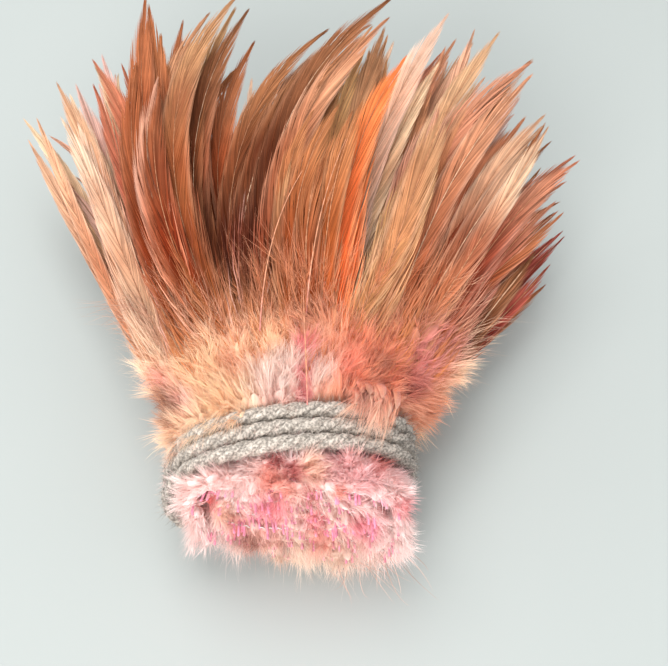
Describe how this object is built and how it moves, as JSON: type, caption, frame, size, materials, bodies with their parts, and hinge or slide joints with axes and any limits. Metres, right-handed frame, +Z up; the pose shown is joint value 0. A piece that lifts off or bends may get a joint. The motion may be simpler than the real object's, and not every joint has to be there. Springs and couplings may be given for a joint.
{
  "type": "strung feather bundle",
  "caption": "Rolled bundle of strung, dyed rooster saddle feathers in browns, peach and pink, tied with grey twine and lying with its tips fanned out.",
  "frame": {"origin": "on the surface the bundle lies on, at the flattened underside of the binding twine's middle turn", "axes": "+Y along the feathers from the cut quill ends to the tips, +Z up from the surface, +X to the right as seen from the quill ends"},
  "size_m": [0.1724, 0.1648, 0.0693],
  "materials": {
    "vane_chestnut": "feather dyed chestnut, soft sheen, pink down at its base",
    "vane_umber": "feather dyed dark brown, soft sheen, pink down at its base",
    "vane_ginger": "feather dyed ginger, soft sheen, pink down at its base",
    "vane_tan": "feather dyed tan, soft sheen, pink down at its base",
    "vane_peach": "feather dyed peach, soft sheen, pink down at its base",
    "vane_blush": "feather dyed blush pink, soft sheen, pink down at its base",
    "vane_cream": "feather dyed cream, soft sheen, pink down at its base",
    "vane_gold": "feather dyed dull gold, soft sheen, pink down at its base",
    "vane_orange": "feather dyed bright orange, soft sheen, pink down at its base",
    "vane_salmon": "feather dyed salmon, soft sheen, pink down at its base",
    "vane_rose": "feather dyed rose brown, soft sheen, pink down at its base",
    "vane_maroon": "feather dyed maroon, soft sheen, pink down at its base",
    "twine": "matt grey-taupe three-ply twine with loose fibres",
    "thread": "matt white sewing thread"
  },
  "bodies": {
    "root": {"feather_01": "vane_chestnut", "feather_02": "vane_ginger", "feather_03": "vane_tan", "feather_04": "vane_rose", "feather_05": "vane_rose", "feather_06": "vane_maroon", "feather_07": "vane_maroon", "feather_08": "vane_umber", "feather_09": "vane_rose", "feather_10": "vane_peach", "feather_11": "vane_salmon", "feather_12": "vane_gold", "feather_13": "vane_orange", "feather_14": "vane_ginger", "feather_15": "vane_umber", "feather_16": "vane_tan", "feather_17": "vane_chestnut", "feather_18": "vane_rose", "feather_19": "vane_peach", "feather_20": "vane_cream", "feather_21": "vane_tan", "feather_22": "vane_blush", "feather_23": "vane_ginger", "feather_24": "vane_tan", "feather_25": "vane_chestnut", "feather_26": "vane_ginger", "feather_27": "vane_tan", "feather_28": "vane_salmon", "feather_29": "vane_maroon", "feather_30": "vane_chestnut", "feather_31": "vane_blush", "feather_32": "vane_peach", "feather_33": "vane_cream", "feather_34": "vane_tan", "feather_35": "vane_peach", "feather_36": "vane_umber", "feather_37": "vane_chestnut", "feather_38": "vane_blush", "feather_39": "vane_blush", "feather_40": "vane_cream", "feather_41": "vane_ginger", "feather_42": "vane_cream", "feather_43": "vane_ginger", "feather_44": "vane_peach", "feather_45": "vane_umber", "feather_46": "vane_peach", "feather_47": "vane_salmon", "feather_48": "vane_cream", "feather_49": "vane_chestnut", "feather_50": "vane_tan", "binding_twine": "twine", "stringing_thread": "thread"}
  },
  "joints": []
}
